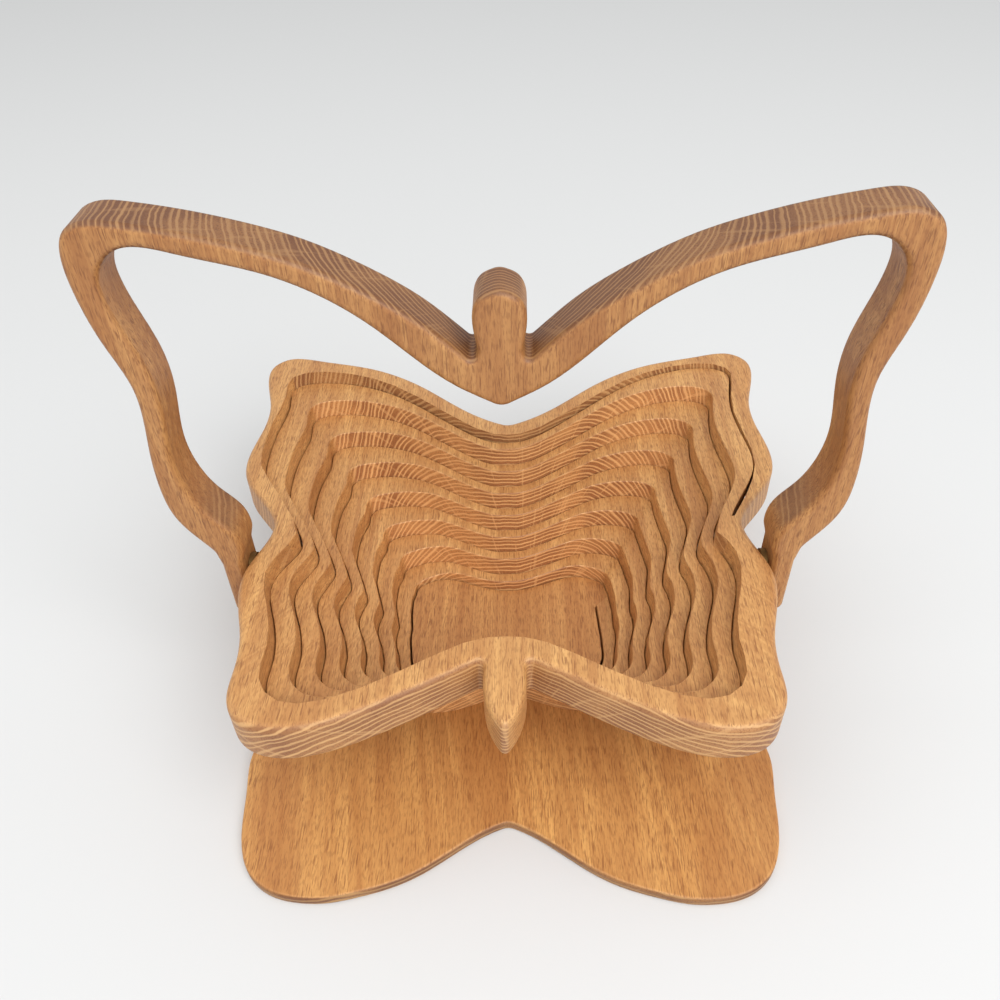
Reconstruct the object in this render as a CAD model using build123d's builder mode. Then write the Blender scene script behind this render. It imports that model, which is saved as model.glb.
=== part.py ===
"""Collapsible butterfly basket, sawn from one oak board, on a thin base board.

Millimetres. +Z is up and the viewer's side, with the butterfly's abdomen, faces -Y.
The origin is the middle of the footprint, on the surface that the basket stands on.
One spiral saw cut turns the board into a strip whose turns hang below each other like
steps. The handle is cut from the same board and turns on two screws at the waist.
"""

import math
import os

from build123d import *

# The board, its saw cut and the way it hangs
board_thickness = 19.0
kerf = 1.1
running_gap = 0.43          # what is left of the kerf once a turn hangs a full step lower
turn_drop = 8.3             # how far one turn hangs below the turn outside it
last_drop = 9.7             # the same for the centre panel, which is glued to the base
turn_count = 7
base_thickness = 4.8

# The butterfly, measured from the line through the two pivots
half_span = 125.0           # rim, from the middle to the widest point of a wing
rear_reach = 145.0          # rim, from the pivot line to its rear edge
base_front_reach = 111.0    # base board, from the pivot line to its front edge
arris_radius = 3.0
handle_arris_radius = 2.5
base_arris_radius = 1.2
valley_radius = 6.0         # where the two halves of an outline meet at a blunt angle
crease_radius = 2.0         # beside the abdomen and the head, where outlines meet sharply
shoulder_radius = 4.0       # where the handle's curves run into its straight arms
overrun = 2.0               # how far a cutter runs past what it cuts

# The pivots
shank_radius = 2.0
shank_grip = 7.0            # how deep a pivot screw sits in the rim
shank_point = 2.5
running_fit = 0.05          # between a shank and the bore that turns on it
head_radius = 3.9
head_thickness = 2.0
counterbore_radius = 4.4
counterbore_depth = 5.0
bearing_gap = 0.1           # under the screw's head, and beside the washer
washer_radius = 5.0
washer_thickness = 2.4
washer_bore_radius = 2.3
button_radius = 5.0
button_height = 1.8
button_peg_radius = 4.35
button_peg_length = 2.4

# The four screws that hold the centre panel on the base board
base_screw_radius = 1.8
base_screw_head_radius = 3.6
base_screw_head_angle = 90.0
base_screw_length = 15.0
base_screw_sink = 0.3       # how far each head lies above the base board's underside
recess_length = 3.6
recess_width = 0.9
recess_depth = 1.2
pilot_clearance = 0.05      # between a screw and the wood round it

# Heights above the surface that the basket stands on
panel_top = base_thickness + board_thickness
full_drop = (turn_count - 1) * turn_drop + last_drop
rim_top = panel_top + full_drop
pivot_height = rim_top - board_thickness / 2

# The pivot line lies so that the footprint is centred on the origin
pivot_y = (base_front_reach - rear_reach) / 2
wall_lean = (kerf - running_gap) / turn_drop

# Stations of the right half, from the rear centre to the front centre, as shares of the half
# span and the rear reach: x and y of the outermost cut, x and y of the innermost cut, and how
# much faster than evenly the turns between them close in there.
station_shares = [
    (0.000, 0.524, 0.000, 0.176, 0.00),
    (0.128, 0.566, 0.072, 0.183, 0.05),
    (0.368, 0.755, 0.168, 0.210, 0.20),
    (0.576, 0.886, 0.232, 0.221, 0.33),
    (0.784, 0.941, 0.288, 0.203, 0.36),
    (0.908, 0.907, 0.318, 0.180, 0.36),
    (0.908, 0.807, 0.325, 0.159, 0.33),
    (0.880, 0.634, 0.330, 0.137, 0.25),
    (0.900, 0.428, 0.331, 0.110, 0.22),
    (0.868, 0.283, 0.332, 0.083, 0.15),
    (0.768, 0.117, 0.332, 0.055, -0.05),
    (0.776, 0.014, 0.333, 0.028, -0.05),
    (0.808, -0.103, 0.334, 0.000, 0.10),
    (0.772, -0.248, 0.334, -0.034, 0.22),
    (0.744, -0.386, 0.333, -0.066, 0.28),
    (0.744, -0.497, 0.322, -0.097, 0.25),
    (0.672, -0.569, 0.288, -0.128, 0.20),
    (0.528, -0.562, 0.216, -0.141, 0.20),
    (0.320, -0.469, 0.128, -0.131, 0.10),
    (0.128, -0.372, 0.056, -0.110, 0.00),
    (0.000, -0.352, 0.000, -0.103, 0.00),
]

# The left wing was not sawn quite like the right one: for the stations where they differ, how
# many stations from the rear centre, and x and y of the outermost cut on the left.
left_cut_shares = [
    (5, 0.932, 0.911), (6, 0.935, 0.785), (7, 0.953, 0.630), (8, 0.956, 0.446),
    (9, 0.899, 0.325), (10, 0.752, 0.121), (11, 0.745, 0.014),
]

# How much of its step a turn has fallen at each station, from the right waist round the
# rear to the left waist. The front half of every turn lies level.
fall_shares = [
    0.00, 0.00, 0.00, 0.02, 0.12, 0.25, 0.28, 0.31, 0.38, 0.43, 0.47,
    0.50, 0.56, 0.69, 0.77, 0.79, 0.81, 0.85, 0.90, 0.96, 1.00,
]
steps_per_station = 2
last_cut_stations = 3       # the cut runs this many stations past its last full turn

# Right half of the rim's outline, from the rear centre to the abdomen
rim_shares = [
    (0.000, 0.579), (0.128, 0.641), (0.352, 0.814), (0.576, 0.931), (0.800, 0.986),
    (0.944, 0.997), (1.000, 0.945), (1.004, 0.883), (0.956, 0.710), (0.950, 0.586),
    (0.970, 0.414), (0.958, 0.341), (0.896, 0.245), (0.824, 0.159), (0.800, 0.110),
    (0.812, 0.021), (0.852, -0.097), (0.840, -0.207), (0.802, -0.331), (0.794, -0.428),
    (0.790, -0.517), (0.748, -0.579), (0.640, -0.614), (0.528, -0.603), (0.368, -0.548),
    (0.192, -0.466), (0.055, -0.397),
]
abdomen_shares = [(0.055, -0.397), (0.056, -0.515), (0.036, -0.565), (0.000, -0.611)]

# Right half of the upright handle, with heights above the pivot line as shares of the rear
# reach: the head, the upper edge of the wing, and the part of the arm above its pivot that
# stands off from the rim. Above that, the handle's inner edge is the rim's own outline.
head_shares = [(0.000, 0.903), (0.046, 0.885), (0.072, 0.831), (0.060, 0.745), (0.072, 0.714)]
handle_outer_shares = [
    (0.072, 0.714), (0.204, 0.821), (0.356, 0.909), (0.504, 0.974), (0.648, 1.016),
    (0.792, 1.047), (0.936, 1.069), (1.000, 1.072), (1.060, 1.050), (1.088, 0.993),
    (1.090, 0.924), (1.060, 0.772), (1.024, 0.655), (1.024, 0.572), (1.040, 0.462),
    (1.048, 0.331), (1.040, 0.262), (1.004, 0.186), (0.945, 0.110), (0.930, 0.055),
]
rim_side_points = 12        # so many points of the rim's outline shape the handle's inner edge
arm_shoulder_shares = [(0.918, 0.245), (0.852, 0.159), (0.846, 0.110), (0.860, 0.062)]
rim_side_share = 0.820      # where the pivot line leaves the rim's side
arm_outer_share = 0.930
arm_inner_share = 0.860
arm_end_share = -0.145
arm_end_radius = 3.5

# Right half of the base board, from the rear centre to the front centre
base_shares = [
    (0.000, 0.530), (0.150, 0.580), (0.360, 0.750), (0.600, 0.890), (0.820, 0.955),
    (0.985, 0.965), (1.045, 0.900), (1.035, 0.800), (0.985, 0.680), (0.970, 0.550),
    (0.990, 0.400), (0.950, 0.270), (0.850, 0.170), (0.830, 0.050), (0.832, -0.080),
    (0.850, -0.190), (0.892, -0.345), (0.880, -0.448), (0.868, -0.548), (0.848, -0.628),
    (0.812, -0.690), (0.740, -0.741), (0.640, -0.763), (0.552, -0.763), (0.464, -0.748),
    (0.368, -0.724), (0.280, -0.690), (0.192, -0.641), (0.096, -0.586), (0.000, -0.548),
]
base_screw_shares = [(0.210, 0.115), (-0.210, 0.115), (0.210, -0.060), (-0.210, -0.060)]


def place(x_share, y_share):
    """A point of the lying outline, from its shares of the half span and the rear reach."""
    return Vector(x_share * half_span, pivot_y + y_share * rear_reach)


def rise(x_share, height_share):
    """A point of the upright handle, in its own plane through the pivots."""
    return Vector(x_share * half_span, height_share * rear_reach)


def moved_out(points, distance):
    """All but the last of a row of points, moved squarely off the row to its left."""
    first = Vector(-points[1].X, points[1].Y)
    moved = []
    for before, point, after in zip([first, *points], points, points[1:]):
        moved.append(point + (after - before).normalized().rotate(Axis.Z, 90) * distance)
    return moved


def curve_with_straight_ends(points):
    """A curve through the points that leaves its ends towards the points next to them."""
    return Spline(points, tangents=[points[1] - points[0], points[-1] - points[-2]])


# The spiral cut

half_turn_stations = len(station_shares) - 1
turn_stations = 2 * half_turn_stations
waist = half_turn_stations // 2
right_side = station_shares
left_side = [(-row[0], row[1], -row[2], row[3], row[4]) for row in station_shares]
for station, x_share, y_share in left_cut_shares:
    left_side[station] = (-x_share, y_share, *left_side[station][2:])
ring_shares = right_side[waist::-1] + left_side[1:] + right_side[-2:waist:-1]
quickening_shares = [row[4] for row in ring_shares]
cut_count = turn_count + 1


def guide(x_column):
    """The closed curve through one pair of columns of the stations, from the right waist."""
    points = [place(row[x_column], row[x_column + 1]) for row in ring_shares]
    parameters = [station / turn_stations for station in range(turn_stations + 1)]
    return Edge.make_spline(points, periodic=True, parameters=parameters)


outermost_cut = guide(0)
innermost_cut = guide(2)


def between(shares, station):
    """A value at a place between two stations of a list that closes on itself."""
    before = math.floor(station)
    low = shares[before % len(shares)]
    high = shares[(before + 1) % len(shares)]
    return low + (high - low) * (station - before)


def station_ends(turn):
    """The points of the outermost and the innermost cut at this place in a turn.

    The place counts in stations, which lie unevenly along the curves, not in lengths.
    """
    around = turn % 1
    return (
        Vector(outermost_cut.geom_adaptor().Value(around)),
        Vector(innermost_cut.geom_adaptor().Value(around)),
    )


def cut_point(turn):
    """The middle of the spiral cut, after so many turns from the right waist."""
    outer_point, inner_point = station_ends(turn)
    quickening = between(quickening_shares, (turn % 1) * turn_stations)
    even_share = turn / cut_count
    inner_share = even_share + quickening * even_share * (1 - even_share)
    return outer_point + (inner_point - outer_point) * inner_share


def cut_side(turn, inward):
    """A point beside the cut, found along its station's line towards the middle."""
    outer_point, inner_point = station_ends(turn)
    station_line = (inner_point - outer_point).normalized()
    step = 1 / turn_stations / steps_per_station
    along = (cut_point(turn + step) - cut_point(turn - step)).normalized()
    squareness = along.rotate(Axis.Z, 90).dot(station_line)
    return cut_point(turn) + station_line * (inward / squareness)


def fallen_share(turn):
    """How much of its step the strip has fallen at this place in its turn."""
    station = (turn % 1) * turn_stations
    if station >= half_turn_stations:
        return 1.0
    return between(fall_shares, station)


def strip_top(turn):
    """Height of the strip's top face after so many turns."""
    whole_turns = min(math.floor(turn), turn_count)
    if whole_turns == turn_count:
        return panel_top
    drop = last_drop if whole_turns == turn_count - 1 else turn_drop
    return rim_top - whole_turns * turn_drop - drop * fallen_share(turn)


def raised(point, height):
    return Vector(point.X, point.Y, height)


def solid_through(loops):
    """Flat triangles from each loop of points to the next, closed by the two end loops."""
    faces = [Face(Wire.make_polygon(loop)) for loop in (loops[0], loops[-1])]
    for near, far in zip(loops, loops[1:]):
        for start in range(len(near)):
            end = (start + 1) % len(near)
            faces.append(Face(Wire.make_polygon([near[start], near[end], far[end]])))
            faces.append(Face(Wire.make_polygon([near[start], far[end], far[start]])))
    return Solid(Shell(faces))


def strip_section(turn):
    """The four corners of the strip where its outer cut has made so many turns."""
    top = strip_top(turn)
    bottom = top - board_thickness
    wall_shift = board_thickness * wall_lean
    return [
        raised(cut_side(turn, kerf / 2), top),
        raised(cut_side(turn + 1, -kerf / 2), top),
        raised(cut_side(turn + 1, wall_shift - kerf / 2), bottom),
        raised(cut_side(turn, wall_shift + kerf / 2), bottom),
    ]


def cut_loop(first_turn, inward, height):
    """One whole turn of the cut as a closed loop of points at one height."""
    steps = turn_stations * steps_per_station
    return [
        raised(cut_side(first_turn + step / steps, inward), height) for step in range(steps + 1)
    ]


def leaning_block(first_turn, inward, top_height, bottom_height, top_shift, bottom_shift):
    """What one turn of the cut encloses, with its leaning walls."""
    return solid_through([
        cut_loop(first_turn, inward + top_shift * wall_lean, top_height),
        cut_loop(first_turn, inward + bottom_shift * wall_lean, bottom_height),
    ])


# Distances from the middle of the basket, out along the line through the pivots
shank_tip = rim_side_share * half_span - shank_grip
arm_inner = arm_inner_share * half_span
arm_outer = arm_outer_share * half_span
head_seat = arm_outer - counterbore_depth
head_inner = head_seat + bearing_gap
washer_outer = arm_inner - bearing_gap

dome_radius = (button_radius**2 + button_height**2) / (2 * button_height)
pivot_axis = Axis((0, pivot_y, pivot_height), (1, 0, 0))


def pivot_plane(side):
    """A plane through the pivot line: x is the height above it, y the distance outwards."""
    return Plane((0, pivot_y, pivot_height), x_dir=(0, 0, 1), z_dir=(0, side, 0))


# The rim, with the abdomen at its front

with BuildPart() as rim:
    with BuildSketch(Plane.XY.offset(rim_top)):
        with BuildLine():
            Spline([place(*shares) for shares in rim_shares])
            Spline([place(*shares) for shares in abdomen_shares])
            mirror(about=Plane.YZ)
        make_face()
    extrude(amount=-board_thickness)
    fillet(rim.edges().filter_by(Axis.Z).sort_by(Axis.Y)[:-1], radius=crease_radius)
    fillet(rim.edges().filter_by(Axis.Z).sort_by(Axis.Y)[-1], radius=valley_radius)
    for end in (0, -1):
        fillet(rim.faces().sort_by(Axis.Z)[end].edges(), radius=arris_radius)
    add(
        leaning_block(
            0, -kerf / 2, rim_top + overrun, rim_top - board_thickness - overrun,
            -overrun, board_thickness + overrun,
        ),
        mode=Mode.SUBTRACT,
    )
    for side in (1, -1):
        with BuildSketch(pivot_plane(side)):
            with BuildLine():
                Polyline(
                    (0, shank_tip - pilot_clearance),
                    (shank_radius + pilot_clearance, shank_tip - pilot_clearance),
                    (shank_radius + pilot_clearance, arm_inner),
                    (0, arm_inner),
                    close=True,
                )
            make_face()
        revolve(axis=pivot_axis, mode=Mode.SUBTRACT)
rim.part.label = "rim"


# The seven turns of the strip, from the rim inwards

turns = []
for number in range(1, turn_count + 1):
    last_stations = last_cut_stations if number == turn_count else 0
    steps = (turn_stations + last_stations) * steps_per_station
    with BuildPart() as turn:
        add(solid_through([
            strip_section(number - 1 + step / turn_stations / steps_per_station)
            for step in range(steps + 1)
        ]))
    turn.part.label = f"turn_{number}"
    turns.append(turn.part)


# The centre panel, which the last turn joins, with pilot holes for its screws

standing = (Align.CENTER, Align.CENTER, Align.MIN)
screw_places = [place(*shares) for shares in base_screw_shares]
pilot_depth = base_screw_sink + base_screw_length + pilot_clearance - base_thickness

with BuildPart() as centre_panel:
    add(leaning_block(
        turn_count + last_cut_stations / turn_stations, kerf / 2, panel_top, base_thickness,
        0, board_thickness,
    ))
    with Locations(Plane.XY.offset(base_thickness)):
        with Locations(screw_places):
            Cylinder(
                base_screw_radius + pilot_clearance, pilot_depth,
                align=standing, mode=Mode.SUBTRACT,
            )
centre_panel.part.label = "centre_panel"


# The base board, and the screws that hold the panel from below

with BuildPart() as base_board:
    with BuildSketch():
        with BuildLine():
            Spline([place(*shares) for shares in base_shares])
            mirror(about=Plane.YZ)
        make_face()
    extrude(amount=base_thickness)
    fillet(base_board.edges().filter_by(Axis.Z), radius=valley_radius)
    for end in (0, -1):
        fillet(base_board.faces().sort_by(Axis.Z)[end].edges(), radius=base_arris_radius)
    with Locations(Plane.XY.rotated((180, 0, 0))):
        with Locations([(point.X, -point.Y) for point in screw_places]):
            CounterSinkHole(
                base_screw_radius + pilot_clearance,
                base_screw_head_radius + base_screw_sink + pilot_clearance,
                depth=base_thickness + overrun,
                counter_sink_angle=base_screw_head_angle,
            )
base_board.part.label = "base_board"

base_screw_head_height = (base_screw_head_radius - base_screw_radius) / math.tan(
    math.radians(base_screw_head_angle / 2)
)
with BuildPart() as base_screws:
    with Locations(Plane.XY.offset(base_screw_sink)):
        with Locations(screw_places):
            Cylinder(base_screw_radius, base_screw_length, align=standing)
            Cone(
                base_screw_head_radius, base_screw_radius, base_screw_head_height,
                align=standing,
            )
            Box(recess_length, recess_width, recess_depth, align=standing, mode=Mode.SUBTRACT)
            Box(recess_width, recess_length, recess_depth, align=standing, mode=Mode.SUBTRACT)
base_screws.part.label = "base_screws"


# The handle, with the butterfly's head on its middle

handle_plane = Plane((0, pivot_y, pivot_height), x_dir=(1, 0, 0), z_dir=(0, -1, 0))

with BuildPart() as handle:
    with BuildSketch(handle_plane.offset(-board_thickness / 2)):
        rim_side = [rise(*shares) for shares in rim_shares[:rim_side_points + 1]]
        arm_shoulder = [rise(*shares) for shares in arm_shoulder_shares]
        with BuildLine():
            curve_with_straight_ends([rise(*shares) for shares in head_shares])
            curve_with_straight_ends([rise(*shares) for shares in handle_outer_shares])
            Polyline(
                rise(*handle_outer_shares[-1]),
                rise(arm_outer_share, arm_end_share),
                rise(arm_inner_share, arm_end_share),
                arm_shoulder[-1],
            )
            curve_with_straight_ends(moved_out(rim_side, kerf) + arm_shoulder)
            mirror(about=Plane.YZ)
        make_face()
    extrude(amount=board_thickness)
    corners = handle.edges().filter_by(Axis.Y).sort_by(Axis.Z)
    fillet(corners[:4], radius=arm_end_radius)
    fillet(corners[4:8], radius=shoulder_radius)
    fillet(corners[9:11], radius=crease_radius)
    fillet([corners[8], corners[11]], radius=valley_radius)
    for end in (0, -1):
        fillet(handle.faces().sort_by(Axis.Y)[end].edges(), radius=handle_arris_radius)
    for side in (1, -1):
        with BuildSketch(pivot_plane(side)):
            with BuildLine():
                Polyline(
                    (0, arm_inner - overrun),
                    (shank_radius + running_fit, arm_inner - overrun),
                    (shank_radius + running_fit, head_seat),
                    (counterbore_radius, head_seat),
                    (counterbore_radius, arm_outer + overrun),
                    (0, arm_outer + overrun),
                    close=True,
                )
            make_face()
        revolve(axis=pivot_axis, mode=Mode.SUBTRACT)
handle.part.label = "handle"


# The pivots: on each side a screw in the rim, a washer on it and a button that hides its head

pivot_pieces = []
for side, side_name in ((1, "right"), (-1, "left")):
    with BuildPart() as pivot_screw:
        with BuildSketch(pivot_plane(side)):
            with BuildLine():
                Polyline(
                    (0, shank_tip),
                    (shank_radius, shank_tip + shank_point),
                    (shank_radius, head_inner),
                    (head_radius, head_inner),
                    (head_radius, head_inner + head_thickness),
                    (0, head_inner + head_thickness),
                    close=True,
                )
            make_face()
        revolve(axis=pivot_axis)
    pivot_screw.part.label = f"pivot_screw_{side_name}"

    with BuildPart() as pivot_washer:
        with BuildSketch(pivot_plane(side)):
            with BuildLine():
                Polyline(
                    (washer_bore_radius, washer_outer - washer_thickness),
                    (washer_radius, washer_outer - washer_thickness),
                    (washer_radius, washer_outer),
                    (washer_bore_radius, washer_outer),
                    close=True,
                )
            make_face()
        revolve(axis=pivot_axis)
    pivot_washer.part.label = f"pivot_washer_{side_name}"

    with BuildPart() as pivot_button:
        with BuildSketch(pivot_plane(side)):
            with BuildLine():
                Polyline(
                    (0, arm_outer + button_height),
                    (0, arm_outer - button_peg_length),
                    (button_peg_radius, arm_outer - button_peg_length),
                    (button_peg_radius, arm_outer),
                    (button_radius, arm_outer),
                )
                RadiusArc(
                    (button_radius, arm_outer), (0, arm_outer + button_height), -dome_radius
                )
            make_face()
        revolve(axis=pivot_axis)
    pivot_button.part.label = f"pivot_button_{side_name}"
    pivot_pieces += [pivot_screw.part, pivot_washer.part, pivot_button.part]


os.makedirs("parts", exist_ok=True)
pieces = [base_board.part, base_screws.part, centre_panel.part, *turns, rim.part, handle.part]
for piece in pieces + pivot_pieces:
    export_step(piece, f"parts/{piece.label}.step")
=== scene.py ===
"""The looks of the collapsible butterfly basket: oiled oak, sawn as one springy spiral strip.

Metres, in the frame's own axes. The rim, handle, base board, panel and pivots are the frame's
own nodes with a surface of oak or metal. Each rigid turn of the frame is replaced by the real
strip. The real strip bends between its turns as the basket sinks flat; here the stretches
between its turns are built in place and do not bend.
"""

import math

import bpy
import numpy as np
from mathutils import Matrix, Vector


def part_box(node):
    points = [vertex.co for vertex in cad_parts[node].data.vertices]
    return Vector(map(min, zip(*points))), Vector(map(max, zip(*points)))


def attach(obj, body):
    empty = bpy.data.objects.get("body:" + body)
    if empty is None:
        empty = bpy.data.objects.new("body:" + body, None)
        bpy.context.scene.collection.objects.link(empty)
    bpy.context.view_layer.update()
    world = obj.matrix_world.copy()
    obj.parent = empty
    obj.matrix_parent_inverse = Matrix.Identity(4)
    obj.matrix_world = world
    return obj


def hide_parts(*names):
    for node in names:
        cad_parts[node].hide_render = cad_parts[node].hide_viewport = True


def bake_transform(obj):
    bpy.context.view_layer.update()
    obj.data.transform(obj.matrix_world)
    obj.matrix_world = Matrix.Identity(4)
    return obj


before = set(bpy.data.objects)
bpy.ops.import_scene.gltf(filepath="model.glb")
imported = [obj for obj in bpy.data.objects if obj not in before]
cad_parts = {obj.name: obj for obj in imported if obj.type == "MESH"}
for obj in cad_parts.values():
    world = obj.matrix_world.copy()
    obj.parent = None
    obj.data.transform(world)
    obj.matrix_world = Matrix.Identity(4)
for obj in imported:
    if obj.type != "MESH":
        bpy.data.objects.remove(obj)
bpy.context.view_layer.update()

MM = 0.001

# Sizes that the frame gives
rim_low, rim_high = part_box("rim")
handle_low, handle_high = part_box("handle")
rim_top = rim_high.z
panel_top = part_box("centre_panel")[1].z
board_thickness = rim_high.z - rim_low.z
pivot_y = (handle_low.y + handle_high.y) / 2
pivot_height = rim_top - board_thickness / 2

# Sizes of the sawn strip
half_span = 125 * MM
rear_reach = 145 * MM
kerf = 1.1 * MM
running_gap = 0.43 * MM
turn_drop = 8.3 * MM
last_drop = 9.7 * MM
turn_count = 7
arris = 0.3 * MM
wall_lean = (kerf - running_gap) / turn_drop

# Camera, where the photograph was taken from: its place from the rim's pivot line and top
camera_offset = Vector((7.3, -265.1, 260.0)) * MM
camera_tilt = math.radians(41.53)
camera_turn = math.radians(-2.0)
camera_roll = math.radians(1.83)
camera_lens = 32.4
camera_sensor = 36.0
camera_near = 10 * MM


def make_camera():
    data = bpy.data.cameras.new("camera")
    data.lens = camera_lens
    data.sensor_width = camera_sensor
    data.clip_start = camera_near
    camera = bpy.data.objects.new("camera", data)
    bpy.context.scene.collection.objects.link(camera)
    forward = Vector((
        math.sin(camera_turn) * math.cos(camera_tilt),
        math.cos(camera_turn) * math.cos(camera_tilt),
        -math.sin(camera_tilt),
    ))
    right = forward.cross(Vector((0, 0, 1))).normalized()
    down = forward.cross(right)
    image_right = right * math.cos(camera_roll) + down * math.sin(camera_roll)
    image_up = right * math.sin(camera_roll) - down * math.cos(camera_roll)
    turned = Matrix((image_right, image_up, -forward)).transposed()
    camera.matrix_world = Matrix.Translation(
        camera_offset + Vector((0, pivot_y, rim_top))
    ) @ turned.to_4x4()
    bpy.context.scene.camera = camera


make_camera()


# Shader node helpers

class Graph:
    """Adds nodes to one tree; a value may be a number, a tuple or another node's output."""

    def __init__(self, tree):
        self.tree = tree

    def node(self, kind, inputs=None, **settings):
        made = self.tree.nodes.new(kind)
        for name, value in settings.items():
            setattr(made, name, value)
        for key, value in (inputs or {}).items():
            self.feed(made.inputs[key], value)
        return made

    def feed(self, socket, value):
        if isinstance(value, bpy.types.NodeSocket):
            self.tree.links.new(value, socket)
        else:
            socket.default_value = value

    def math(self, operation, *values):
        made = self.node("ShaderNodeMath", dict(enumerate(values)), operation=operation)
        return made.outputs[0]

    def vector(self, operation, *values):
        made = self.node("ShaderNodeVectorMath", dict(enumerate(values)), operation=operation)
        return made.outputs["Value" if operation == "DOT_PRODUCT" else "Vector"]

    def split(self, vector):
        return self.node("ShaderNodeSeparateXYZ", {0: vector}).outputs

    def join(self, x, y, z):
        return self.node("ShaderNodeCombineXYZ", {0: x, 1: y, 2: z}).outputs[0]

    def noise(self, vector, detail=2.0, roughness=0.5):
        """Noise from 0 to 1, one feature to a unit of the vector."""
        made = self.node(
            "ShaderNodeTexNoise",
            {"Vector": vector, "Scale": 1.0, "Detail": detail, "Roughness": roughness},
        )
        return made.outputs["Fac"]

    def step(self, value, low, high):
        """A smooth step from 0 at low to 1 at high."""
        made = self.node(
            "ShaderNodeMapRange", {0: value, 1: low, 2: high}, interpolation_type="SMOOTHSTEP"
        )
        return made.outputs[0]

    def mix(self, share, first, second):
        made = self.node(
            "ShaderNodeMix", {0: share, 6: first, 7: second}, data_type="RGBA"
        )
        return made.outputs[2]


# The curve that a screen's colours follow
screen_white = 255
dark_limit = 0.04045
dark_slope = 12.92
curve_offset = 0.055
curve_power = 2.4


def colour(red, green, blue):
    """A colour as it looks on a screen, from 0 to 255, as a shader takes it."""
    def linear(value):
        share = value / screen_white
        if share <= dark_limit:
            return share / dark_slope
        return ((share + curve_offset) / (1 + curve_offset)) ** curve_power

    return (linear(red), linear(green), linear(blue), 1.0)


# Oak

plain_light = colour(225, 173, 108)
plain_middle = colour(203, 148, 88)
plain_dark = colour(166, 108, 60)
pore_dark = colour(132, 80, 42)
line_light = colour(226, 176, 118)
band_middle = colour(184, 130, 80)
band_dark = colour(150, 98, 60)
speck_dark = colour(128, 76, 42)

# Rings round the pith, in millimetres of the board
front_y = -95.0             # up to here the rings lie flattest, and from rear_y on steepest
rear_y = 20.0
front_spread = 0.45         # how far aside the front lies for the rings, the rear being 1
ring_power = 3.0            # above 2 the rings have flatter crowns than circles
ring_waves = [(0.020, 0.006, 9.0), (0.16, 0.02, 1.4)]    # features per mm across, along; height
unevenness = 1.4            # how many rings' width the rings are shifted by, at most
unevenness_scale = 0.6
line_core = 0.08            # the light line's full width and its edge, in rings from its middle
line_edge = 0.28


class Mark:
    """A kind of mark in the wood, drawn from noise.

    across and along are noise features per millimetre across and along the grain. The mark
    begins where the noise reaches low and is full where it reaches high. strength is how
    strongly it tints the wood.
    """

    def __init__(self, across, along, low, high, strength=1.0):
        self.across = across
        self.along = along
        self.low = low
        self.high = high
        self.strength = strength


broad_streaks = Mark(0.075, 0.006, 0.36, 0.64)
narrow_streaks = Mark(0.42, 0.012, 0.35, 0.68, 0.42)
fibres = Mark(2.4, 0.10, 0.40, 0.75, 0.34)
short_dashes = Mark(1.5, 0.34, 0.50, 0.64, 0.30)
long_pores = Mark(1.9, 0.14, 0.58, 0.70, 0.60)
end_bands = Mark(0.035, 0.01, 0.40, 0.60)
end_specks = Mark(1.7, 0.6, 0.52, 0.66, 0.50)
wood_rays = Mark(34.0, 0.02, 0.60, 0.70, 0.38)      # across is per radian round the pith
ray_depth_scale = 0.03      # features per millimetre of radius

pores_at_lines = 0.05       # how much more readily pores open in a light line
fibre_roughness = 0.6
shade_least = 0.08          # how far a streak between two lines is darkened, at least
shade_spread = 0.34
end_tint = 0.22
line_least = 0.62           # how light the lines on end grain are, at least
line_spread = 0.30
fibre_relief = 0.4          # height of the fibres, a pore's depth being 1
roughness_least = 0.40      # of the smoothest oak, and how much the fibres add to it
roughness_spread = 0.18
relief_strength = 0.35
relief_depth = 0.15 * MM
end_grain_begins = 0.30     # how squarely a face meets the grain where end grain begins
end_grain_full = 0.75

# What one board's oak may differ in, and what it is otherwise; on some pieces Tone and End tone
# carry painted light and shade
oak_inputs = {
    "End grain": 0.0, "Pith depth": 50.0, "Pith side": 6.0, "Ring width": 2.0,
    "Streaks": 1.0, "Lean": 0.0, "End tone": 1.0,
}


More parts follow.
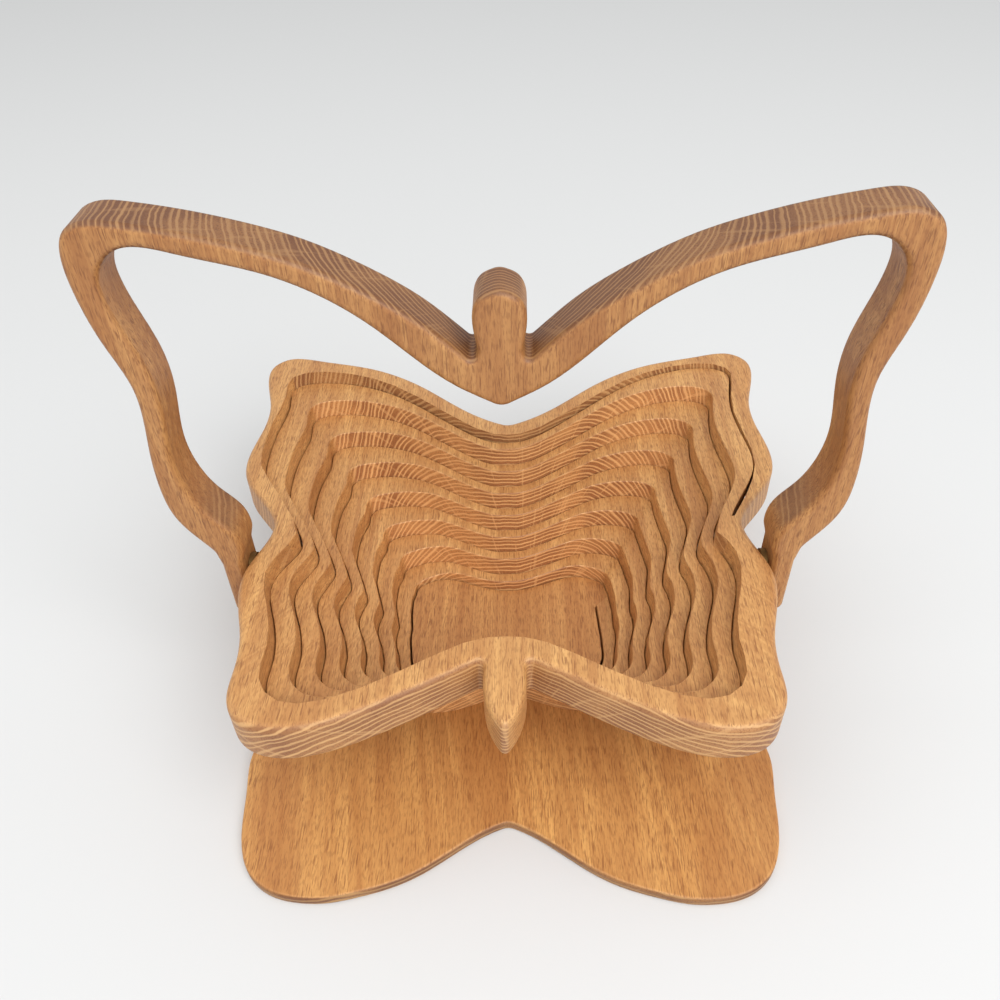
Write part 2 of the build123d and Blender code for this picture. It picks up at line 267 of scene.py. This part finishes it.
def oak_group():
    """Oak in board coordinates: x across, y along the grain and z up from the top face.

    The rings lie flat under the middle of the board and turn steep beside it, nearer to the
    middle at the rear than at the front. Where the grain runs out of the surface they show as
    light lines between rows of dark specks, crossed by rays; elsewhere as long soft streaks
    with short dark pores.
    """
    tree = bpy.data.node_groups.new("oak", "ShaderNodeTree")
    new_socket = tree.interface.new_socket
    new_socket("Board", in_out="INPUT", socket_type="NodeSocketVector")
    for name, value in oak_inputs.items():
        new_socket(name, in_out="INPUT", socket_type="NodeSocketFloat").default_value = value
    new_socket("Tone", in_out="INPUT", socket_type="NodeSocketVector").default_value = (1, 1, 1)
    new_socket("Color", in_out="OUTPUT", socket_type="NodeSocketColor")
    new_socket("Height", in_out="OUTPUT", socket_type="NodeSocketFloat")
    new_socket("Roughness", in_out="OUTPUT", socket_type="NodeSocketFloat")
    g = Graph(tree)
    given = g.node("NodeGroupInput").outputs
    result = g.node("NodeGroupOutput")

    board = g.vector("MULTIPLY", given["Board"], (1 / MM, 1 / MM, 1 / MM))
    x, y, z = g.split(board)

    def grain(across, along, place=board, detail=2.0, roughness=0.5):
        return g.noise(g.vector("MULTIPLY", place, (across, along, across)), detail, roughness)

    def shown(mark, noise):
        """Where a mark shows, from 0 to 1."""
        return g.step(noise, mark.low, mark.high)

    def tinted(wood, mark, where, tint_colour):
        return g.mix(g.math("MULTIPLY", where, mark.strength), wood, tint_colour)

    # Rings
    flatness = g.step(y, front_y, rear_y)
    spread = g.math("MULTIPLY_ADD", flatness, 1 - front_spread, front_spread)
    across = g.math("MULTIPLY", g.math("SUBTRACT", x, given["Pith side"]), spread)
    above = g.math("ADD", z, given["Pith depth"])
    radius = g.math(
        "ADD",
        g.math("POWER", g.math("ABSOLUTE", across), ring_power),
        g.math("POWER", above, ring_power),
    )
    radius = g.math("POWER", radius, 1 / ring_power)
    for wave_across, wave_along, wave_height in ring_waves:
        radius = g.math("MULTIPLY_ADD", grain(wave_across, wave_along), wave_height, radius)
    rings = g.math("DIVIDE", radius, given["Ring width"])
    ring_place = g.join(g.math("MULTIPLY", rings, unevenness_scale), 0.0, 0.0)
    rings = g.math("MULTIPLY_ADD", g.noise(ring_place, detail=1.0), unevenness, rings)
    tint = g.node(
        "ShaderNodeTexWhiteNoise", {"W": g.math("FLOOR", rings)}, noise_dimensions="1D"
    ).outputs[0]
    off_middle = g.math("ABSOLUTE", g.math("SUBTRACT", g.math("FRACT", rings), 1 / 2))
    line = g.math("SUBTRACT", 1.0, g.step(off_middle, line_core, line_edge))

    # Marks
    leaning = g.join(g.math("MULTIPLY_ADD", y, given["Lean"], x), y, z)
    broad = shown(broad_streaks, grain(broad_streaks.across, broad_streaks.along, leaning))
    narrow = shown(narrow_streaks, grain(narrow_streaks.across, narrow_streaks.along, leaning))
    fine = grain(fibres.across, fibres.along, roughness=fibre_roughness)
    dashes = shown(short_dashes, grain(short_dashes.across, short_dashes.along, detail=1.0))
    pore_noise = grain(long_pores.across, long_pores.along, detail=1.0)
    pores = shown(long_pores, g.math("MULTIPLY_ADD", line, pores_at_lines, pore_noise))
    bands = shown(end_bands, grain(end_bands.across, end_bands.along))
    specks = shown(end_specks, grain(end_specks.across, end_specks.along, detail=1.0))
    ray_place = g.join(
        g.math("MULTIPLY", g.math("ARCTAN2", across, above), wood_rays.across),
        g.math("MULTIPLY", y, wood_rays.along),
        g.math("MULTIPLY", radius, ray_depth_scale),
    )
    rays = shown(wood_rays, g.noise(ray_place, detail=1.0))

    # The surface along the grain
    plain = g.mix(broad, plain_middle, plain_light)
    plain = tinted(plain, narrow_streaks, narrow, plain_dark)
    shade = g.math("MULTIPLY", g.math("SUBTRACT", 1.0, line), given["Streaks"])
    shade = g.math("MULTIPLY", shade, g.math("MULTIPLY_ADD", tint, shade_spread, shade_least))
    plain = g.mix(shade, plain, plain_dark)
    plain = tinted(plain, fibres, shown(fibres, fine), plain_dark)
    plain = tinted(plain, short_dashes, dashes, pore_dark)
    plain = tinted(plain, long_pores, pores, pore_dark)

    # The end grain
    end = g.mix(bands, band_dark, band_middle)
    end = g.mix(g.math("MULTIPLY", tint, end_tint), end, plain_middle)
    end = tinted(end, end_specks, specks, speck_dark)
    brightness = g.math("MULTIPLY_ADD", tint, line_spread, line_least)
    end = g.mix(g.math("MULTIPLY", line, brightness), end, line_light)
    end = tinted(end, wood_rays, rays, line_light)
    end_tone = g.join(given["End tone"], given["End tone"], given["End tone"])
    end = g.vector("MULTIPLY", end, end_tone)

    wood = g.mix(given["End grain"], plain, end)
    g.feed(result.inputs["Color"], g.vector("MULTIPLY", wood, given["Tone"]))
    relief = g.math("MULTIPLY_ADD", pores, -1.0, g.math("MULTIPLY", fine, fibre_relief))
    g.feed(result.inputs["Height"], relief)
    roughness = g.math("MULTIPLY_ADD", fine, roughness_spread, roughness_least)
    g.feed(result.inputs["Roughness"], roughness)
    return tree


oak_tree = oak_group()


def new_material(name):
    material = bpy.data.materials.new(name)
    material.use_nodes = True
    material.node_tree.nodes.clear()
    return material, Graph(material.node_tree)


def oak_material(name, board_coordinates, grain_axis, **looks):
    """An oak surface; board_coordinates builds the board vector, grain_axis is the grain's."""
    material, g = new_material(name)
    place = g.node("ShaderNodeTexCoord").outputs
    board = board_coordinates(g, place["Object"])
    facing = g.math("ABSOLUTE", g.vector("DOT_PRODUCT", place["Normal"], grain_axis))
    oak = g.node("ShaderNodeGroup")
    oak.node_tree = oak_tree
    g.feed(oak.inputs["Board"], board)
    g.feed(oak.inputs["End grain"], g.step(facing, end_grain_begins, end_grain_full))
    for key, value in looks.items():
        g.feed(oak.inputs[key.replace("_", " ")], value)
    bump = g.node("ShaderNodeBump", {
        "Height": oak.outputs["Height"], "Strength": relief_strength, "Distance": relief_depth,
    })
    surface = g.node("ShaderNodeBsdfPrincipled", {
        "Base Color": oak.outputs["Color"], "Roughness": oak.outputs["Roughness"],
        "Normal": bump.outputs[0],
    })
    g.node("ShaderNodeOutputMaterial", {"Surface": surface.outputs[0]})
    return material


def lying_board(top):
    """Board coordinates of a piece that lies flat with its upper face at this height."""
    def coordinates(g, place):
        return g.vector("ADD", place, (0, -pivot_y, -top))
    return coordinates


def upright_board(g, place):
    """Board coordinates of the handle: the grain runs up and the board's face looks forward."""
    x, y, z = g.split(place)
    return g.join(
        x,
        g.math("SUBTRACT", z, pivot_height),
        g.math("SUBTRACT", pivot_y - board_thickness / 2, y),
    )


def strip_board(g, place):
    """Board coordinates of the strip, kept from the flat board that it was sawn from."""
    return g.node("ShaderNodeAttribute", attribute_name="board").outputs["Vector"]


along_y = (0, 1, 0)
along_z = (0, 0, 1)
rim_oak = oak_material("rim_oak", lying_board(rim_top), along_y, End_tone=0.86)
# Painted shade: this Tone darkens the panel's colour as if the bottom of the basket lay in
# shade.
panel_oak_painted_shade = oak_material("panel_oak_painted_shade", lying_board(panel_top), along_y, Tone=(0.88, 0.80, 0.72))
# Painted light: End tone lightens the strip's end-grain walls as if more light fell on them
# from the front.
strip_oak_painted_light = oak_material("strip_oak_painted_light", strip_board, along_y, End_tone=1.20)
# Painted shade: this Tone darkens the whole handle as if its upright faces took less light; End
# tone is the handle's own browner end grain.
handle_oak_painted_shade = oak_material(
    "handle_oak_painted_shade", upright_board, along_z, Tone=(0.72, 0.65, 0.61), End_tone=0.70, Pith_side=2.0,
)
base_oak = oak_material(
    "base_oak", lying_board(0.0), along_y,
    Tone=(1.02, 0.98, 0.86), End_tone=0.6, Streaks=1.9, Pith_depth=300.0, Ring_width=3.0,
    Lean=0.14,
)


# Metal

scuffs_per_metre = 900
scuffed_shade = 0.7
scuffed_roughness = 0.25


def metal_material(name, base, roughness):
    material, g = new_material(name)
    place = g.node("ShaderNodeTexCoord").outputs["Object"]
    scuffs = g.noise(g.vector("MULTIPLY", place, (scuffs_per_metre,) * 3), detail=3.0)
    scuffed = tuple(scuffed_shade * part for part in base[:3]) + (1.0,)
    surface = g.node("ShaderNodeBsdfPrincipled", {
        "Base Color": g.mix(scuffs, base, scuffed),
        "Roughness": g.math("MULTIPLY_ADD", scuffs, scuffed_roughness, roughness),
        "Metallic": 1.0,
    })
    g.node("ShaderNodeOutputMaterial", {"Surface": surface.outputs[0]})
    return material


steel = metal_material("steel", colour(190, 188, 182), roughness=0.25)
brass = metal_material("brass", colour(148, 118, 74), roughness=0.45)


def dress(node, material):
    """Gives one of the frame's own nodes its surface."""
    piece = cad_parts[node]
    piece.data.materials.clear()
    piece.data.materials.append(material)


dress("rim", rim_oak)
dress("handle", handle_oak_painted_shade)
dress("base_board", base_oak)
dress("centre_panel", panel_oak_painted_shade)
dress("base_screws", steel)
for side_name in ("left", "right"):
    dress(f"pivot_screw_{side_name}", steel)
    dress(f"pivot_washer_{side_name}", brass)
    dress(f"pivot_button_{side_name}", handle_oak_painted_shade)


# The spiral strip

# The saw cut's stations down the right half, from the rear centre to the front centre, as
# shares of the half span and the rear reach: x and y of the outermost cut, x and y of the
# innermost cut, and how much faster than evenly the turns between them close in there.
station_shares = [
    (0.000, 0.524, 0.000, 0.176, 0.00),
    (0.128, 0.566, 0.072, 0.183, 0.05),
    (0.368, 0.755, 0.168, 0.210, 0.20),
    (0.576, 0.886, 0.232, 0.221, 0.33),
    (0.784, 0.941, 0.288, 0.203, 0.36),
    (0.908, 0.907, 0.318, 0.180, 0.36),
    (0.908, 0.807, 0.325, 0.159, 0.33),
    (0.880, 0.634, 0.330, 0.137, 0.25),
    (0.900, 0.428, 0.331, 0.110, 0.22),
    (0.868, 0.283, 0.332, 0.083, 0.15),
    (0.768, 0.117, 0.332, 0.055, -0.05),
    (0.776, 0.014, 0.333, 0.028, -0.05),
    (0.808, -0.103, 0.334, 0.000, 0.10),
    (0.772, -0.248, 0.334, -0.034, 0.22),
    (0.744, -0.386, 0.333, -0.066, 0.28),
    (0.744, -0.497, 0.322, -0.097, 0.25),
    (0.672, -0.569, 0.288, -0.128, 0.20),
    (0.528, -0.562, 0.216, -0.141, 0.20),
    (0.320, -0.469, 0.128, -0.131, 0.10),
    (0.128, -0.372, 0.056, -0.110, 0.00),
    (0.000, -0.352, 0.000, -0.103, 0.00),
]

# Where the left half was sawn differently: the station, and x and y of its outermost cut
left_cut_shares = [
    (5, 0.932, 0.911), (6, 0.935, 0.785), (7, 0.953, 0.630), (8, 0.956, 0.446),
    (9, 0.899, 0.325), (10, 0.752, 0.121), (11, 0.745, 0.014),
]

# How much of its step a turn has fallen at each station, from the right waist round the rear
# to the left waist; the front half of every turn lies level
fall_shares = [
    0.00, 0.00, 0.00, 0.02, 0.12, 0.25, 0.28, 0.31, 0.38, 0.43, 0.47,
    0.50, 0.56, 0.69, 0.77, 0.79, 0.81, 0.85, 0.90, 0.96, 1.00,
]
last_cut_stations = 3       # the cut runs this many stations past its last full turn
steps_per_station = 8
tangent_stations = 0.25     # how far to both sides the cut's direction is taken from
rounding = 1e-9             # keeps a whole number of turns from falling just short of itself
sharp_angle = math.radians(25)

half_turn = len(station_shares) - 1
whole_turn = 2 * half_turn
waist = half_turn // 2
right_side = np.array(station_shares)
left_side = right_side * (-1, 1, -1, 1, 1)
for station, x_share, y_share in left_cut_shares:
    left_side[station, 0:2] = (-x_share, y_share)
ring = np.vstack([right_side[waist::-1], left_side[1:], right_side[-2:waist:-1]])
sizes = np.array([half_span, rear_reach])
outermost = ring[:, 0:2] * sizes + (0, pivot_y)
innermost = ring[:, 2:4] * sizes + (0, pivot_y)
quickening = np.append(ring[:, 4], ring[0, 4])


def periodic_curve(points):
    """A smooth closed curve that passes one point at each station."""
    count = len(points)
    same = np.eye(count)
    beside = np.roll(same, 1, axis=0) + np.roll(same, -1, axis=0)
    bend = 6 * (np.roll(points, 1, axis=0) - 2 * points + np.roll(points, -1, axis=0))
    second = np.linalg.solve(beside + 4 * same, bend)

    def at(station):
        whole = np.floor(station).astype(int)
        after = (station - whole)[:, None]
        before = 1 - after
        low, high = whole % count, (whole + 1) % count
        return (
            points[low] * before + points[high] * after
            + (before**3 - before) * second[low] / 6 + (after**3 - after) * second[high] / 6
        )

    return at


outer_curve = periodic_curve(outermost)
inner_curve = periodic_curve(innermost)


def cut_points(turns):
    """The middle of the saw cut after so many turns, and the unit line towards the middle."""
    station = turns % 1 * whole_turn
    outer_points = outer_curve(station)
    inner_points = inner_curve(station)
    quick = np.interp(station, np.arange(whole_turn + 1), quickening)
    even = turns / (turn_count + 1)
    share = (even + quick * even * (1 - even))[:, None]
    line = inner_points - outer_points
    length = np.linalg.norm(line, axis=1)[:, None]
    return outer_points + line * share, line / length


def cut_side(turns, inward):
    """Points so far inward of the cut, found along each station's line towards the middle."""
    step = tangent_stations / whole_turn
    middle, line = cut_points(turns)
    along = cut_points(turns + step)[0] - cut_points(turns - step)[0]
    along /= np.linalg.norm(along, axis=1)[:, None]
    square = -along[:, 1] * line[:, 0] + along[:, 0] * line[:, 1]
    return middle + line * (inward / square)[:, None]


def strip_top(turns):
    """The height of the strip's upper face after so many turns."""
    turns = turns + rounding
    whole = np.minimum(np.floor(turns), turn_count)
    drop = np.where(whole == turn_count - 1, last_drop, turn_drop)
    fallen = np.interp(turns % 1 * whole_turn, np.arange(half_turn + 1), fall_shares)
    level = rim_top - whole * turn_drop - drop * fallen
    return np.where(whole == turn_count, panel_top, level)


# Down one wall of the strip: how far in from the wall and how deep
wall_corners = [
    (arris, 0), (0, arris), (0, board_thickness - arris), (arris, board_thickness),
]


def strip_piece(name, first_station, last_station):
    """The strip between two stations counted from the rim, closed at both ends."""
    count = (last_station - first_station) * steps_per_station
    turns = (first_station + np.arange(count + 1) / steps_per_station) / whole_turn
    top = strip_top(turns)

    def corner_line(plan, depth):
        """One long edge: its places, and its depth in the board that it was sawn from."""
        return np.column_stack([plan, top - depth, np.full(len(turns), -depth)])

    corner_lines = [
        corner_line(cut_side(turns, kerf / 2 + inset + depth * wall_lean), depth)
        for inset, depth in wall_corners
    ] + [
        corner_line(cut_side(turns + 1, depth * wall_lean - kerf / 2 - inset), depth)
        for inset, depth in reversed(wall_corners)
    ]
    grid = np.stack(corner_lines, axis=1)
    rows, corners = grid.shape[:2]
    places = grid.reshape(-1, grid.shape[2])
    faces = []
    for row in range(rows - 1):
        for corner in range(corners):
            after = (corner + 1) % corners
            faces.append((
                row * corners + corner, row * corners + after,
                (row + 1) * corners + after, (row + 1) * corners + corner,
            ))
    faces.append(tuple(range(corners))[::-1])
    faces.append(tuple((rows - 1) * corners + corner for corner in range(corners)))

    mesh = bpy.data.meshes.new(name)
    mesh.from_pydata(places[:, :3].tolist(), [], faces)
    mesh.update()
    board = mesh.attributes.new("board", "FLOAT_VECTOR", "POINT")
    values = np.column_stack([places[:, 0], places[:, 1] - pivot_y, places[:, 3]])
    board.data.foreach_set("vector", values.astype(np.float32).ravel())
    mesh.polygons.foreach_set("use_smooth", [True] * len(mesh.polygons))
    mesh.set_sharp_from_angle(angle=sharp_angle)
    mesh.materials.append(strip_oak_painted_light)
    piece = bpy.data.objects.new(name, mesh)
    bpy.context.scene.collection.objects.link(piece)
    return piece


# The bodies that the strip's turns ride on, from the rim to the last turn
turn_bodies = [
    "rim", "first_turn", "second_turn", "third_turn", "fourth_turn", "fifth_turn",
    "sixth_turn", "base",
]

# The falling half of a turn is made in stretches between these stations
bend_stations = [last_cut_stations, 7, 13, half_turn]


def strip_middle(station):
    """The middle of the strip's width at a station, on the floor."""
    turns = np.array([station / whole_turn])
    plan = (cut_points(turns)[0][0] + cut_points(turns + 1)[0][0]) / 2
    return Vector((plan[0], plan[1], 0))


def bent_piece(name, turn, first, last):
    """A stretch of the falling half of a turn, between two of its stations, built where it
    lies.
    """
    start_station = turn * whole_turn + first
    end_station = turn * whole_turn + last
    piece = strip_piece(name, start_station, end_station)
    start = strip_middle(start_station)
    end = strip_middle(end_station)
    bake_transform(piece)


for turn in range(turn_count + 1):
    first = (turn - 1) * whole_turn + half_turn if turn else 0
    last = turn * whole_turn + last_cut_stations
    level = strip_piece(f"strip_level_{turn}", first, last)
    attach(level, turn_bodies[turn])
    if turn:
        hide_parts(f"turn_{turn}")
for turn in range(turn_count):
    for number, (first, last) in enumerate(zip(bend_stations, bend_stations[1:]), start=1):
        bent_piece(f"strip_bend_{turn + 1}_{number}", turn, first, last)


# Floor and light

floor_reach = 6.0
floor_colour = colour(218, 219, 219)
world_colour = (1.0, 1.0, 1.0, 1.0)
world_strength = 0.74

# Each lamp's name, place, power in watts and width; it shines at the middle of the floor
lamps = [
    ("key", Vector((0.7, -1.2, 1.45)), 30.0, 1.6),
    ("fill", Vector((-0.9, -0.3, 1.5)), 5.0, 1.4),
]


def make_floor():
    mesh = bpy.data.meshes.new("floor")
    mesh.from_pydata(
        [
            (-floor_reach, -floor_reach, 0), (floor_reach, -floor_reach, 0),
            (floor_reach, floor_reach, 0), (-floor_reach, floor_reach, 0),
        ],
        [], [(0, 1, 2, 3)],
    )
    material, g = new_material("floor")
    surface = g.node("ShaderNodeBsdfDiffuse", {"Color": floor_colour})
    g.node("ShaderNodeOutputMaterial", {"Surface": surface.outputs[0]})
    mesh.materials.append(material)
    floor = bpy.data.objects.new("floor", mesh)
    bpy.context.scene.collection.objects.link(floor)


def make_lights():
    world = bpy.data.worlds.new("studio")
    bpy.context.scene.world = world
    world.use_nodes = True
    background = world.node_tree.nodes["Background"]
    background.inputs["Color"].default_value = world_colour
    background.inputs["Strength"].default_value = world_strength
    for name, place, power, width in lamps:
        data = bpy.data.lights.new(name, "AREA")
        data.energy = power
        data.size = width
        lamp = bpy.data.objects.new(name, data)
        bpy.context.scene.collection.objects.link(lamp)
        lamp.location = place
        lamp.rotation_mode = "QUATERNION"
        lamp.rotation_quaternion = (-place).to_track_quat("-Z", "Y")


make_floor()
make_lights()
bpy.context.scene.view_settings.view_transform = "Standard"
